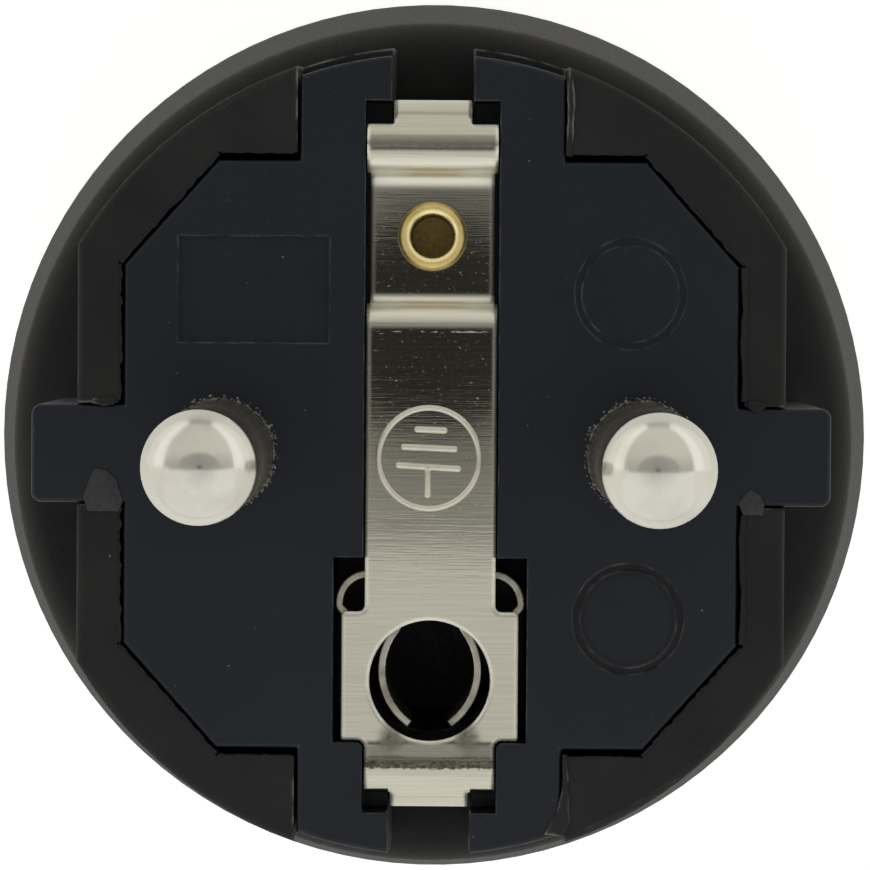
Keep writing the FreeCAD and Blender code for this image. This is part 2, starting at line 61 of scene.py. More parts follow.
def newMaterial(name, metallic, ior=1.5):
    material = bpy.data.materials.new(name)
    material.use_nodes = True
    shader = material.node_tree.nodes["Principled BSDF"]
    shader.inputs["Metallic"].default_value = metallic
    shader.inputs["IOR"].default_value = ior
    return material, material.node_tree, shader


def linkShader(tree, shader, base, rough, normal):
    tree.links.new(base, shader.inputs["Base Color"])
    tree.links.new(rough, shader.inputs["Roughness"])
    tree.links.new(normal, shader.inputs["Normal"])


def math2(tree, operation, first, second):
    return addNode(tree, "Math", {0: first, 1: second}, operation=operation).outputs[0]


def times(tree, first, second):
    return math2(tree, "MULTIPLY", first, second)


def larger(tree, first, second):
    return math2(tree, "MAXIMUM", first, second)


def spread(tree, value, low, high, newLow=0.0, newHigh=1.0, ease="LINEAR"):
    span = {"Value": value, "From Min": low, "From Max": high, "To Min": newLow, "To Max": newHigh}
    return addNode(tree, "MapRange", span, clamp=True, interpolation_type=ease).outputs["Result"]


def mixColour(tree, amount, first, second):
    node = addNode(tree, "Mix", {0: amount, 6: first, 7: second}, data_type="RGBA")
    return node.outputs[2]


def grain(tree, scale, detail=2.0, roughness=0.5):
    # noise on object coordinates, scale as features per metre, for all axes or for each
    if not isinstance(scale, tuple):
        scale = (scale,) * 3
    place = addNode(tree, "TexCoord").outputs["Object"]
    turn = addNode(tree, "Mapping", {"Vector": place, "Scale": scale}).outputs["Vector"]
    values = {"Vector": turn, "Scale": 1.0, "Detail": detail, "Roughness": roughness}
    return addNode(tree, "TexNoise", values).outputs["Fac"]


def patches(tree, scale, low, high, detail=2.0, roughness=0.5):
    # grain with its contrast raised
    return spread(tree, grain(tree, scale, detail, roughness), low, high)


def specks(tree, scale, size, share):
    # small scattered dots, in a share of the cells
    place = addNode(tree, "TexCoord").outputs["Object"]
    cells = addNode(tree, "TexVoronoi", {"Vector": place, "Scale": scale}).outputs
    dot = spread(tree, cells["Distance"], size, size * 0.4)
    pick = addNode(tree, "SeparateColor", {"Color": cells["Color"]}).outputs["Red"]
    return times(tree, dot, spread(tree, pick, 1 - share, 1 - share * 0.5))


def partPlace(tree):
    place = addNode(tree, "TexCoord").outputs["Object"]
    return addNode(tree, "SeparateXYZ", {"Vector": place}).outputs


def farFrom(tree, across, along, spot):
    # distance in plan from a spot on the face
    flat = addNode(tree, "CombineXYZ", {"X": across, "Y": along}).outputs["Vector"]
    return addNode(tree, "VectorMath", {0: flat, 1: spot + (0,)}, operation="DISTANCE").outputs["Value"]


def nearLine(tree, along, place, width):
    # 1 on a line, 0 beyond its width
    away = math2(tree, "ABSOLUTE", math2(tree, "SUBTRACT", along, place), 0)
    return spread(tree, away, width, width * 0.4)


def roundedNormal(tree, radius):
    return addNode(tree, "Bevel", {"Radius": radius}, samples=6).outputs["Normal"]


def nearEdge(tree, rounded):
    # 1 on an edge, where the rounded normal leaves the true one
    true = addNode(tree, "NewGeometry").outputs["Normal"]
    facing = addNode(tree, "VectorMath", {0: rounded, 1: true}, operation="DOT_PRODUCT")
    return spread(tree, facing.outputs["Value"], 0.99, 0.8)


def addBump(tree, height, normal, strength, distance):
    inputs = {"Height": height, "Normal": normal, "Strength": strength, "Distance": distance}
    return addNode(tree, "Bump", inputs).outputs["Normal"]


# Finishes. Patches are scale, contrast from and to, detail, roughness. Bumps are strength, depth.
rubberLook = {
    "ior": 1.33,
    "dark": (0.0046, 0.0047, 0.0052, 1),
    "bloom": (0.0088, 0.0089, 0.0093, 1),
    "bloomPatches": (260, 0.35, 0.68, 4.0),
    # painted highlight: this light colour lightens the lobes' outer edges to stand for their edge sheen,
    # and also colours the dust specks
    "wearAndPaintedLight": (0.30, 0.295, 0.28, 1),
    "edgeWearAndHighlightPatches": (900, 0.4, 0.62, 3.0),
    "outerEdgeReach": (0.3 * mm, 0.9 * mm),  # out from the inner edge of the lobes
    "dustSpecks": (640, 0.05, 0.4),
    "dust": 0.35,
    "edge": 0.22 * mm,
    "innerEdge": 0.04 * mm,
    "lobeInner": (14.05 * mm, 13.55 * mm),
    "lobeSlant": (0.746, 0.667, 16.17 * mm),  # way out of the corner and distance of its edge
    # painted sheen colour for the outer rim of the collar
    "collar": (0.024, 0.0235, 0.0225, 1),
    "collarReach": (19.4 * mm, 20.8 * mm),
    "collarEdge": 1.8 * mm,
    "collarDepth": 17.4 * mm,
    "collarFade": 0.4 * mm,
    "collarDull": 0.04,
    "fineGrain": (5200, 3.0, 0.6),
    "rough": (0.54, 0.70),
    "bump": (0.35, 0.03 * mm),
}


def pastLobes(tree, apart):
    # how far out from the inner edge of the corner lobes
    across, along = (math2(tree, "ABSOLUTE", apart[axis], 0) for axis in "XY")
    innerX, innerY = rubberLook["lobeInner"]
    wayX, wayY, slant = rubberLook["lobeSlant"]
    pastX = math2(tree, "SUBTRACT", across, innerX)
    pastY = math2(tree, "SUBTRACT", along, innerY)
    corner = math2(tree, "ADD", times(tree, across, wayX), times(tree, along, wayY))
    return larger(tree, larger(tree, pastX, pastY), math2(tree, "SUBTRACT", corner, slant))


def mouldedRubber():
    look = rubberLook
    material, tree, shader = newMaterial("mouldedRubber", 0.0, look["ior"])
    apart = partPlace(tree)
    collarTop = faceZ - look["collarDepth"]
    collar = spread(tree, apart["Z"], collarTop, collarTop - look["collarFade"])
    beyond = pastLobes(tree, apart)
    lobeEdge = spread(tree, beyond, *look["outerEdgeReach"], look["innerEdge"], look["edge"])
    normal = roundedNormal(tree, larger(tree, lobeEdge, times(tree, collar, look["collarEdge"])))
    base = mixColour(tree, patches(tree, *look["bloomPatches"]), look["dark"], look["bloom"])
    reach = farFrom(tree, apart["X"], apart["Y"], (0, 0))
    # painted sheen: a lighter band on the outer rim of the collar
    rim = times(tree, collar, spread(tree, reach, *look["collarReach"]))
    base = mixColour(tree, rim, base, look["collar"])
    dust = times(tree, specks(tree, *look["dustSpecks"]), look["dust"])
    base = mixColour(tree, dust, base, look["wearAndPaintedLight"])
    # painted highlight with some wear: the outer edges of the lobes are lightened, their inner edges are
    # not
    wearAndEdgeHighlight = times(tree, nearEdge(tree, normal), patches(tree, *look["edgeWearAndHighlightPatches"]))
    wearAndEdgeHighlight = times(tree, wearAndEdgeHighlight, spread(tree, beyond, *look["outerEdgeReach"]))
    base = mixColour(tree, math2(tree, "SUBTRACT", wearAndEdgeHighlight, collar), base, look["wearAndPaintedLight"])
    fine = grain(tree, *look["fineGrain"])
    rough = spread(tree, fine, 0.3, 0.7, *look["rough"])
    rough = math2(tree, "ADD", rough, times(tree, collar, look["collarDull"]))
    linkShader(tree, shader, base, rough, addBump(tree, fine, normal, *look["bump"]))
    return material


insertLook = {
    "ior": 1.36,
    "dark": (0.0012, 0.0040, 0.0090, 1),
    "pale": (0.0027, 0.0059, 0.0118, 1),
    "palePatches": (180, 0.36, 0.66, 3.0),
    # dust colour, also used for a painted highlight on the insert's edges
    "dust": (0.15, 0.15, 0.14, 1),
    "coarseSpecks": (900, 0.05, 0.35),
    "fineSpecks": (2300, 0.07, 0.16),
    "speckShare": 0.85,
    "edge": 0.12 * mm,
    "edgeWearAndHighlightPatches": (1400, 0.42, 0.66),
    "edgeDustAndHighlightShare": 0.6,
    "mark": (8.9 * mm, -7.3 * mm),
    "markLines": ((2.37 * mm, 0.15 * mm), (2.01 * mm, 0.10 * mm)),  # radius and width
    "markGrooveShade": (0.0001, 0.0004, 0.0011, 1),
    "fineGrain": (3800, 2.0),
    "rough": (0.36, 0.46),
    "bump": (0.12, 0.02 * mm),
}


def insertPlastic():
    look = insertLook
    material, tree, shader = newMaterial("insertPlastic", 0.0, look["ior"])
    normal = roundedNormal(tree, look["edge"])
    base = mixColour(tree, patches(tree, *look["palePatches"]), look["dark"], look["pale"])
    dust = larger(tree, specks(tree, *look["coarseSpecks"]), specks(tree, *look["fineSpecks"]))
    base = mixColour(tree, times(tree, dust, look["speckShare"]), base, look["dust"])
    # painted shade: two dark lines along the lower round mark, where its edges fall in shade
    apart = partPlace(tree)
    reach = farFrom(tree, apart["X"], apart["Y"], look["mark"])
    for radius, width in look["markLines"]:
        base = mixColour(tree, nearLine(tree, reach, radius, width), base, look["markGrooveShade"])
    # painted highlight with dust: the insert's edges are lightened with the dust colour
    wearAndPaintedLight = times(tree, patches(tree, *look["edgeWearAndHighlightPatches"]), look["edgeDustAndHighlightShare"])
    base = mixColour(tree, times(tree, nearEdge(tree, normal), wearAndPaintedLight), base, look["dust"])
    fine = grain(tree, *look["fineGrain"])
    rough = spread(tree, fine, 0.3, 0.7, *look["rough"])
    linkShader(tree, shader, base, rough, addBump(tree, fine, normal, *look["bump"]))
    return material


burrLook = {
    "dark": (0.012, 0.010, 0.008, 1),
    "pale": (0.19, 0.185, 0.18, 1),
}
flashLook = {
    "dark": (0.014, 0.0155, 0.017, 1),
    "pale": (0.022, 0.024, 0.026, 1),
}
fleckLook = {
    "ior": 1.4,
    "patches": (4200, 0.44, 0.58, 4.0, 0.65),
    "rough": 0.5,
}


def flecked(name, look):
    material, tree, shader = newMaterial(name, 0.0, fleckLook["ior"])
    flecks = patches(tree, *fleckLook["patches"])
    tree.links.new(mixColour(tree, flecks, look["dark"], look["pale"]), shader.inputs["Base Color"])
    shader.inputs["Roughness"].default_value = fleckLook["rough"]
    return material


strapLook = {
    "bright": (0.60, 0.585, 0.495, 1),
    "stain": (0.54, 0.52, 0.435, 1),
    "stainPatches": ((260, 11000, 11000), 0.36, 0.68, 2.0, 0.6),
    "edge": 0.32 * mm,
    "paintedHighlight": (0.92, 0.90, 0.80, 1),
    "paintedHighlightShare": 0.75,
    "folds": ((12.6 * mm, 0.8 * mm), (6.7 * mm, 0.6 * mm)),  # place and width
    "foldDull": 0.4,
    "wearAndPaintedLight": (0.06, 0.053, 0.036, 1),
    "shadeAndWearBands": (  # start, full, end, weight
        (14.40 * mm, 14.02 * mm, 13.86 * mm, 0.62),
        (-13.48 * mm, -13.74 * mm, -14.14 * mm, 1.0),
    ),
    "bandWander": 0.06 * mm,
    "bandDull": 0.45,
    "raggedPatches": ((2600, 4200, 4200), 0.36, 0.64, 6.0, 0.75),
    "cornerShade": (1.68 * mm, -12.72 * mm),
    "cornerShadeReach": (0.85 * mm, 0.1 * mm),
    "cornerShadeShare": 0.95,
    "streaks": ((420, 12000, 12000), 2.0, 0.55),
    "polish": (0.03, 0.06),
    "fleckPatches": ((4200, 6500, 6500), 0.60, 0.67, 5.0, 0.7),
    "fleckDull": 0.25,
    "pits": (5200, 0.16, 0.05),
    "pitDull": 0.3,
    "glints": (5.55 * mm, 7.05 * mm, -13.1 * mm),
    "glintWidth": 0.07 * mm,
    "glintPatches": ((2000, 9000, 9000), 0.5, 0.62, 3.0),
    "glintDull": 0.28,
    "socket": (0, -10.15 * mm),
    "dishReach": (2.6 * mm, 3.7 * mm),
    "dishBump": (1.0, 0.022 * mm),
    "calm": (-6.5 * mm, -8.5 * mm),  # where the brushing fades
    "brushing": (0.5, 0.2),
    "brushDepth": 0.0016 * mm,
}


def creaseShadeAndWear(tree, apart, ragged):
    # painted shade with some wear: bands that darken towards a ragged end on the crest steps, and a dark
    # patch in each lower corner where the plate bends
    look = strapLook
    wander = look["bandWander"]
    along = math2(tree, "ADD", apart["Y"], spread(tree, ragged, 0, 1, -wander, wander))
    wearAndPaintedLight = 0
    for start, full, end, weight in look["shadeAndWearBands"]:
        rise = spread(tree, along, start, full)
        stop = spread(tree, along, end, end + wander)
        band = times(tree, math2(tree, "MINIMUM", times(tree, rise, rise), stop), weight)
        wearAndPaintedLight = larger(tree, wearAndPaintedLight, times(tree, band, spread(tree, ragged, 0.1, 0.8, 0.74, 1)))
    corner = farFrom(tree, math2(tree, "ABSOLUTE", apart["X"], 0), apart["Y"], look["cornerShade"])
    cornerShade = spread(tree, corner, *look["cornerShadeReach"], 0, look["cornerShadeShare"], "SMOOTHSTEP")
    return larger(tree, wearAndPaintedLight, times(tree, cornerShade, spread(tree, ragged, 0, 1, 0.6, 1.0)))


def strapRoughness(tree, apart, streak, wearAndPaintedLight, folds):
    # dull flecks, pits, rows of glints, the painted shade and wear bands, and folds break the polish
    look = strapLook
    dull = spread(tree, streak, 0.3, 0.7, *look["polish"])
    dull = larger(tree, dull, times(tree, patches(tree, *look["fleckPatches"]), look["fleckDull"]))
    dull = larger(tree, dull, times(tree, specks(tree, *look["pits"]), look["pitDull"]))
    dull = larger(tree, dull, times(tree, wearAndPaintedLight, look["bandDull"]))
    broken = times(tree, patches(tree, *look["glintPatches"]), look["glintDull"])
    for glint in look["glints"]:
        row = nearLine(tree, apart["Y"], glint, look["glintWidth"])
        dull = larger(tree, dull, times(tree, row, broken))
    return larger(tree, dull, times(tree, folds, look["foldDull"]))


def brushedNickel():
    look = strapLook
    material, tree, shader = newMaterial("brushedNickel", 1.0)
    apart = partPlace(tree)
    normal = roundedNormal(tree, look["edge"])
    base = mixColour(tree, patches(tree, *look["stainPatches"]), look["bright"], look["stain"])
    folds = 0
    for fold, width in look["folds"]:
        folds = larger(tree, folds, nearLine(tree, apart["Y"], fold, width))
    # painted highlight: the strap's edges and fold crests are lightened
    paintedHighlight = larger(tree, spread(tree, nearEdge(tree, normal), 0, 0.4), folds)
    base = mixColour(tree, times(tree, paintedHighlight, look["paintedHighlightShare"]), base, look["paintedHighlight"])
    # painted shade with some wear on the crest steps and at the lower corner bends
    wearAndPaintedLight = creaseShadeAndWear(tree, apart, patches(tree, *look["raggedPatches"]))
    base = mixColour(tree, wearAndPaintedLight, base, look["wearAndPaintedLight"])
    streak = grain(tree, *look["streaks"])
    rough = strapRoughness(tree, apart, streak, wearAndPaintedLight, folds)
    # shallow dish round the socket hole
    reach = farFrom(tree, apart["X"], apart["Y"], look["socket"])
    dish = spread(tree, reach, *look["dishReach"], ease="SMOOTHSTEP")
    normal = addBump(tree, dish, normal, *look["dishBump"])
    brushing = spread(tree, apart["Y"], *look["calm"], *look["brushing"])
    linkShader(tree, shader, base, rough, addBump(tree, streak, normal, brushing, look["brushDepth"]))
    return material


pinLook = {
    "bright": (0.66, 0.65, 0.585, 1),
    "stain": (0.54, 0.52, 0.46, 1),
    "stainPatches": (420, 0.5, 0.8, 4.0),
    "pit": (0.20, 0.18, 0.15, 1),
    "pits": (1500, 0.09, 0.2),
    "shank": (0.44, 0.41, 0.345, 1),
    "shankReach": (17 * mm, 11 * mm),  # over the face
    "shankDull": 0.10,
    "turning": ((700, 700, 9000), 3.0),
    "rough": (0.13, 0.18),
    "edge": 0.2 * mm,
    "bump": (0.05, 0.01 * mm),
}


def polishedNickel():
    look = pinLook
    material, tree, shader = newMaterial("polishedNickel", 1.0)
    base = mixColour(tree, patches(tree, *look["stainPatches"]), look["bright"], look["stain"])
    start, full = look["shankReach"]
    shank = spread(tree, partPlace(tree)["Z"], faceZ + start, faceZ + full)
    base = mixColour(tree, shank, base, look["shank"])
    base = mixColour(tree, specks(tree, *look["pits"]), base, look["pit"])
    turning = grain(tree, *look["turning"])
    rough = spread(tree, turning, 0.3, 0.7, *look["rough"])
    rough = math2(tree, "ADD", rough, times(tree, shank, look["shankDull"]))
    normal = addBump(tree, turning, roundedNormal(tree, look["edge"]), *look["bump"])
    linkShader(tree, shader, base, rough, normal)
    return material


signLook = {
    "bright": (0.66, 0.645, 0.56, 1),
    "stain": (0.56, 0.54, 0.46, 1),
    "rough": 0.40,
}
springLook = {
    "bright": (0.44, 0.425, 0.37, 1),
    "stain": (0.22, 0.205, 0.17, 1),
    "rough": 0.26,
}
brassLook = {
    "bright": (0.78, 0.63, 0.26, 1),
    "stain": (0.62, 0.48, 0.17, 1),
    "rough": 0.45,
    "deep": (0.31, 0.23, 0.10, 1),
    "deepReach": (1.55 * mm, 2.3 * mm),  # under the face
    "lip": (0.96, 0.83, 0.45, 1),
    "lipReach": (1.26 * mm, 1.14 * mm),
    "lipShine": 0.14,
}
screwLook = {
    "bright": (0.62, 0.61, 0.58, 1),
    "stain": (0.40, 0.38, 0.34, 1),
    "rough": 0.32,
}
metalLook = {
    "stainPatches": (900, 0.45, 0.7, 4.0),
    "fineGrain": (6000, 2.0),
    "roughSpan": 0.06,
    "edge": 0.12 * mm,
    "bump": (0.1, 0.01 * mm),
}


def rolledLip(tree, look, base, dull):
    # painted highlight: a bright band on the rolled lip of the rivet; dark down its hole
    apart = partPlace(tree)
    start, full = look["deepReach"]
    deep = spread(tree, apart["Z"], faceZ - start, faceZ - full)
    low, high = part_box("earth_rivet")
    middle = (low + high) / 2
    reach = farFrom(tree, apart["X"], apart["Y"], (middle.x, middle.y))
    lip = larger(tree, math2(tree, "SUBTRACT", spread(tree, reach, *look["lipReach"]), deep), 0)
    base = mixColour(tree, lip, base, look["lip"])
    base = mixColour(tree, deep, base, look["deep"])
    return base, math2(tree, "SUBTRACT", dull, times(tree, lip, look["lipShine"]))


def plainMetal(name, look):
    material, tree, shader = newMaterial(name, 1.0)
    base = mixColour(tree, patches(tree, *metalLook["stainPatches"]), look["bright"], look["stain"])
    fine = grain(tree, *metalLook["fineGrain"])
    span = metalLook["roughSpan"]
    dull = spread(tree, fine, 0.3, 0.7, look["rough"] - span, look["rough"] + span)
    if "lip" in look:
        base, dull = rolledLip(tree, look, base, dull)
    normal = addBump(tree, fine, roundedNormal(tree, metalLook["edge"]), *metalLook["bump"])
    linkShader(tree, shader, base, dull, normal)
    return material


pressedNickel = plainMetal("pressedNickel", signLook)
burrPlastic = flecked("burrPlastic", burrLook)
paleFlash = flecked("paleFlash", flashLook)
finishes = {
    "rubber": mouldedRubber(),
    "insert": insertPlastic(),
    "strap_metal": brushedNickel(),
    "pin_metal": polishedNickel(),
    "spring_metal": plainMetal("springNickel", springLook),
    "brass": plainMetal("rolledBrass", brassLook),
    "screw_metal": plainMetal("zincedSteel", screwLook),
}
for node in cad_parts.values():
    slotName = node.material_slots[0].material.name.split(".")[0]
    node.material_slots[0].material = finishes[slotName]
print("finishes on", len(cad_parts), "nodes")


# Added pieces, measured in mm from the middle of the face
def newPiece(name, bm, slotName, finish=None):
    bmesh.ops.recalc_face_normals(bm, faces=bm.faces)
    mesh = bpy.data.meshes.new(name)
    bm.to_mesh(mesh)
    bm.free()
    mesh.shade_smooth()
    mesh.set_sharp_from_angle(angle=math.radians(40))
    mesh.materials.append(finish or finishes[slotName])
    piece = bpy.data.objects.new(name, mesh)
    bpy.context.scene.collection.objects.link(piece)
    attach(piece, "root")


def placeOnFace(bm, verts, x, y, tilt, depth):
    turn = Matrix.Rotation(math.radians(tilt), 4, "Z")
    spot = Matrix.Translation((x * mm, y * mm, faceZ - depth * mm))
    bmesh.ops.transform(bm, matrix=spot @ turn, verts=verts)


def fullTurn(bm, geom, steps):
    bmesh.ops.spin(bm, geom=geom, cent=(0, 0, 0), axis=(0, 0, 1), angle=math.tau, steps=steps,
                   use_merge=True)


earthSign = {
    "depth": 0.3,
    "height": 0.09,
    "ringLine": 0.132,
    "ring": (-0.09, -0.135, 2.265),  # middle and radius
    "ringSteps": 96,
    "barLine": 0.148,
    "barEnd": 0.92,  # share of the line that is rounded off
    "bars": (  # middle, half length, tilt
        (-0.01, 1.14, 0.75, -2.2),
        (-0.08, 0.325, 1.28, -2.2),
        (-0.115, -0.53, 1.48, -3.2),
    ),
    "stem": (-0.14, -1.235, 0.695, 90.0),
}


def signBar(bm, x, y, half, tilt):
    # round-ended bar, half sunk in the strap
    line, length = earthSign["barLine"] * mm, 2 * half * mm
    lying = Matrix.Rotation(math.radians(90), 4, "Y")
    rod = bmesh.ops.create_cone(bm, cap_ends=True, segments=16, radius1=line, radius2=line, depth=length,
                                matrix=lying)["verts"]
    near = dict.fromkeys(e for v in rod for e in v.link_edges)
    rims = [e for e in near if abs(e.verts[0].co.x - e.verts[1].co.x) < 1e-7]
    bent = bmesh.ops.bevel(bm, geom=rims, offset=line * earthSign["barEnd"], segments=5, profile=0.5,
                           affect="EDGES", material=-1)["verts"]
    verts = list(dict.fromkeys([v for v in rod if v.is_valid] + list(bent)))
    bmesh.ops.scale(bm, vec=(1, 1, earthSign["height"] / earthSign["barLine"]), verts=verts)
    placeOnFace(bm, verts, x, y, tilt, earthSign["depth"])


def signRing(bm, x, y, radius):
    line = earthSign["ringLine"]
    upright = Matrix.Translation((radius * mm, 0, 0)) @ Matrix.Rotation(math.radians(90), 4, "X")
    verts = bmesh.ops.create_circle(bm, segments=12, radius=line * mm, matrix=upright)["verts"]
    bmesh.ops.scale(bm, vec=(1, 1, earthSign["height"] / line), verts=verts)
    edges = list(dict.fromkeys(e for v in verts for e in v.link_edges))
    fullTurn(bm, verts + edges, earthSign["ringSteps"])
    placeOnFace(bm, bm.verts, x, y, 0, earthSign["depth"])


def addEarthSign():
    bm = bmesh.new()
    signRing(bm, *earthSign["ring"])
    for values in earthSign["bars"] + (earthSign["stem"],):
        signBar(bm, *values)
    newPiece("earthSign", bm, "strap_metal", pressedNickel)


def flake(name, points, shape, finish=None):
    # thin flat piece of rubber with a rounded upper edge
    bottom, top = shape["bottom"] * mm, shape["top"] * mm
    bm = bmesh.new()
    verts = [bm.verts.new((x * mm, y * mm, faceZ + bottom)) for x, y in points]
    grown = bmesh.ops.extrude_face_region(bm, geom=[bm.faces.new(verts)])["geom"]
    raised = [v for v in grown if isinstance(v, bmesh.types.BMVert)]
    bmesh.ops.translate(bm, verts=raised, vec=(0, 0, top - bottom))
    upper = set(raised)
    edges = [e for e in bm.edges if e.verts[0] in upper and e.verts[1] in upper]
    bmesh.ops.bevel(bm, geom=edges, offset=shape["rounding"] * mm, segments=2, profile=0.5,
                    affect="EDGES", material=-1)
    newPiece(name, bm, "rubber", finish)


flashShape = {
    "top": 0.09,
    "bottom": -0.05,
    "rounding": 0.035,
    "step": 0.12,
    "wander": 0.05,
    "waves": 2.6,
}
flashTongues = {
    "leftRib": [(-15.63, -1.95), (-15.21, -0.80), (-14.93, -0.64), (-14.51, -0.80), (-14.09, -1.18),
                (-13.81, -2.17), (-14.0, -2.6), (-15.4, -2.6)],
    "rightRib": [(13.82, -2.07), (14.04, -1.68), (14.38, -1.45), (14.77, -1.68), (14.99, -2.13),
                 (14.9, -2.6), (14.0, -2.6)],
    "rightRibTop": [(14.2, 2.5), (14.15, 2.25), (14.4, 2.05), (14.75, 2.0), (15.0, 2.2), (15.05, 2.5)],
    "leftRibTop": [(-15.2, 2.5), (-15.2, 2.22), (-14.7, 2.12), (-14.2, 2.2), (-14.15, 2.5)],
    "armTop": [(6.0, 16.8), (6.0, 15.2), (5.98, 13.5), (6.22, 13.4), (6.30, 14.6), (6.38, 15.7),
               (6.30, 16.9)],
    "armBottom": [(5.98, -13.4), (6.0, -15.0), (5.75, -16.0), (5.2, -17.0), (6.0, -17.1),
                  (6.36, -16.6), (6.30, -15.0), (6.22, -13.4)],
    "sideTop": [(13.86, 8.5), (13.92, 6.6), (13.84, 5.0), (13.94, 3.6), (13.88, 2.5), (14.16, 2.5),
                (14.12, 5.0), (14.18, 8.5)],
    "sideBottom": [(14.16, -2.6), (14.12, -5.0), (14.18, -8.4), (13.88, -8.4), (13.95, -6.3),
                   (13.84, -4.4), (13.92, -2.6)],
}
paleTongues = ("leftRib", "rightRib")


def raggedOutline(corners):
    # corners joined by short steps that wander a little
    waves = flashShape["waves"]
    points = []
    for i in range(len(corners)):
        start, end = Vector(corners[i]), Vector(corners[(i + 1) % len(corners)])
        steps = max(1, round((end - start).length / flashShape["step"]))
        for k in range(steps):
            spot = start.lerp(end, k / steps)
            shiftX = noise.noise((spot.x * waves, spot.y * waves, 3.7)) * flashShape["wander"]
            shiftY = noise.noise((spot.x * waves, spot.y * waves, 9.2)) * flashShape["wander"]
            points.append((spot.x + shiftX, spot.y + shiftY))
    return points


lipShape = {
    "top": -0.015,
    "bottom": -0.4,
    "rounding": 0.02,
    "step": 0.1,
    "root": 0.12,
    "longWaves": 3.1,
    "shortWaves": 9,
    "shortShare": 0.6,
    "reachLimits": (0.2, 1.5),
}
raggedLips = {  # start and end of the lobe edge, way towards the insert, reach
    "leftTopSide": ((-14.05, 8.5), (-14.05, 2.4), (1, 0), 0.16),
    "leftBottomSide": ((-14.05, -2.4), (-14.05, -8.5), (1, 0), 0.16),
    "leftTopSlant": ((-9.6, 13.5), (-14.0, 8.6), (0.746, -0.667), 0.12),
    "rightTopSlant": ((14.0, 8.6), (9.6, 13.5), (-0.746, -0.667), 0.12),
    "leftBottomSlant": ((-14.0, -8.6), (-9.6, -13.5), (0.746, 0.667), 0.12),
    "rightBottomSlant": ((9.6, -13.5), (14.0, -8.6), (-0.746, 0.667), 0.12),
    "leftTopEnd": ((-6.2, 13.55), (-9.5, 13.55), (0, -1), 0.06),
    "rightTopEnd": ((9.5, 13.55), (6.2, 13.55), (0, -1), 0.06),
    "leftBottomEnd": ((-9.5, -13.55), (-6.2, -13.55), (0, 1), 0.06),
    "rightBottomEnd": ((6.2, -13.55), (9.5, -13.55), (0, 1), 0.06),
}


def lipPoints(start, end, way, reach):
    start, end, way = Vector(start), Vector(end), Vector(way)
    least, most = lipShape["reachLimits"]
    slow, quick = lipShape["longWaves"], lipShape["shortWaves"]
    steps = round((end - start).length / lipShape["step"])
    inner = []
    for k in range(steps + 1):
        spot = start.lerp(end, k / steps)
        amount = noise.noise((spot.x * slow, spot.y * slow, 0.5))
        amount += lipShape["shortShare"] * noise.noise((spot.x * quick, spot.y * quick, 2.5))
        inner.append(spot + way * reach * min(most, max(least, 0.85 + 0.6 * amount)))
    back = [end - way * lipShape["root"], start - way * lipShape["root"]]
    return [(p.x, p.y) for p in inner + back]


pinMouth = {
    "spacing": 19.0,
    "inner": 2.43,
    "outer": 2.62,
    "height": 0.03,
    "sunk": 0.1,
    "steps": 120,
    "waves": 6,
    "wander": 0.05,
    "unevenness": 1.6,
    "crumbs": 140,
    "crumbReach": (2.44, 2.68),
    "crumbSize": (0.03, 0.085),
}


def addPinMouth(name, x):
    # rough burr where the pin leaves the insert
    bm = bmesh.new()
    inner, outer, height, sunk = (pinMouth[key] * mm for key in ("inner", "outer", "height", "sunk"))
    crest = inner * 0.6 + outer * 0.4
    profile = [(inner, -sunk), (inner, height * 0.7), (crest, height), (outer, -sunk)]
    verts = [bm.verts.new((r, 0, z)) for r, z in profile]
    edges = [bm.edges.new((verts[i], verts[(i + 1) % 4])) for i in range(4)]
    fullTurn(bm, verts + edges, pinMouth["steps"])
    waves = pinMouth["waves"]
    for vert in bm.verts:
        reach = math.hypot(vert.co.x, vert.co.y)
        rough = noise.noise((vert.co.x / mm * waves + x, vert.co.y / mm * waves, 1.2))
        vert.co.xy *= 1 + pinMouth["wander"] * (rough if reach > inner * 1.01 else abs(rough))
        if vert.co.z > 0:
            vert.co.z *= 1 + pinMouth["unevenness"] * rough
    draw = random.Random(name)
    for i in range(pinMouth["crumbs"]):
        turn = Matrix.Rotation(draw.uniform(0, math.tau), 4, "Z")
        spot = Matrix.Translation((draw.uniform(*pinMouth["crumbReach"]) * mm, 0, 0))
        size = draw.uniform(*pinMouth["crumbSize"]) * mm
        bmesh.ops.create_icosphere(bm, subdivisions=1, radius=size, matrix=turn @ spot)
    placeOnFace(bm, bm.verts, x, 0, 0, 0)
    newPiece(name, bm, "insert", burrPlastic)


addEarthSign()
for pieceName, corners in flashTongues.items():
    finish = paleFlash if pieceName in paleTongues else None
    flake("flash_" + pieceName, raggedOutline(corners), flashShape, finish)
for pieceName, values in raggedLips.items():
    flake("lip_" + pieceName, lipPoints(*values), lipShape)
addPinMouth("leftPinMouth", -pinMouth["spacing"] / 2)
addPinMouth("rightPinMouth", pinMouth["spacing"] / 2)
print("sign, flash, lips and pin mouths added")


# Studio: pale floor with a low rim, grey room, and soft boxes, flags and cards round the plug
def stageObject(name, bm, material):
    mesh = bpy.data.meshes.new(name)
    bm.to_mesh(mesh)
    bm.free()
    mesh.materials.append(material)
    thing = bpy.data.objects.new(name, mesh)
    bpy.context.scene.collection.objects.link(thing)
    return thing


floorLook = {
    "radius": 4.0,
    "rim": 0.7,
    "colour": (0.86, 0.86, 0.86, 1),
    "rough": 0.9,
    "glow": 0.45,  # added where the camera sees it
    "mirrored": 0.12,  # added where metal mirrors it
}


